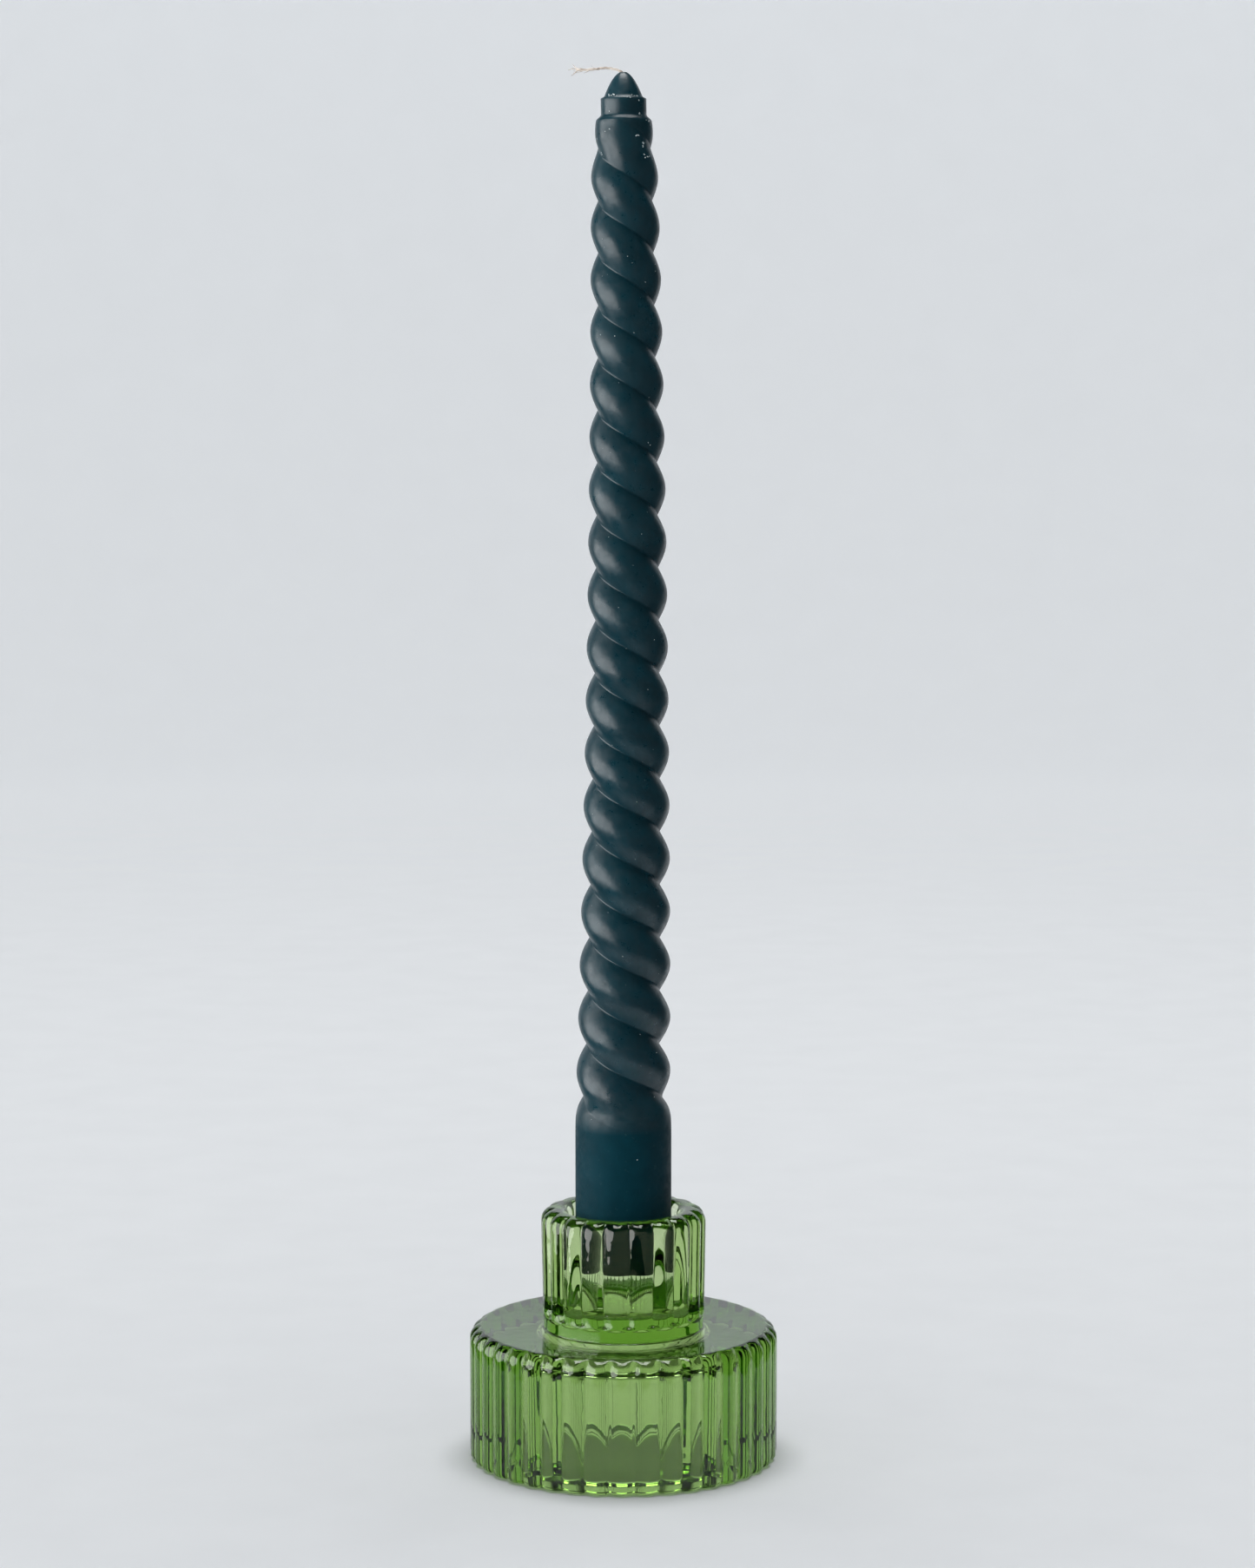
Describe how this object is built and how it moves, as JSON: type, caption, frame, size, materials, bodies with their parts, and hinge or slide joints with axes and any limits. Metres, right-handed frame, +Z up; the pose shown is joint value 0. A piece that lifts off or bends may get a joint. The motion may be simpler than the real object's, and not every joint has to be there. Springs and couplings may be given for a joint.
{
  "type": "candlestick",
  "caption": "Ribbed pressed-glass candlestick, a wide hollow drum under a narrow socket, holding a twisted taper candle with a bent wick.",
  "frame": {"origin": "centre of the foot, on the surface that the holder stands on", "axes": "+Z up along the candle, -Y towards the viewer, +X to the viewer's right; the wick's stub points to -X"},
  "size_m": [0.0708, 0.0708, 0.3164],
  "materials": {
    "green_glass": "pressed and fire-polished",
    "teal_wax": "satin wax",
    "cream_cotton": "braided cotton"
  },
  "bodies": {
    "holder": {"glass_holder": "green_glass"},
    "candle": {"twisted_candle": "teal_wax", "wick": "cream_cotton"}
  },
  "joints": [
    {"name": "candle_lift", "type": "slide", "parent": "holder", "child": "candle", "axis": [0, 0, 1], "range_m": [0, 0.05]}
  ]
}
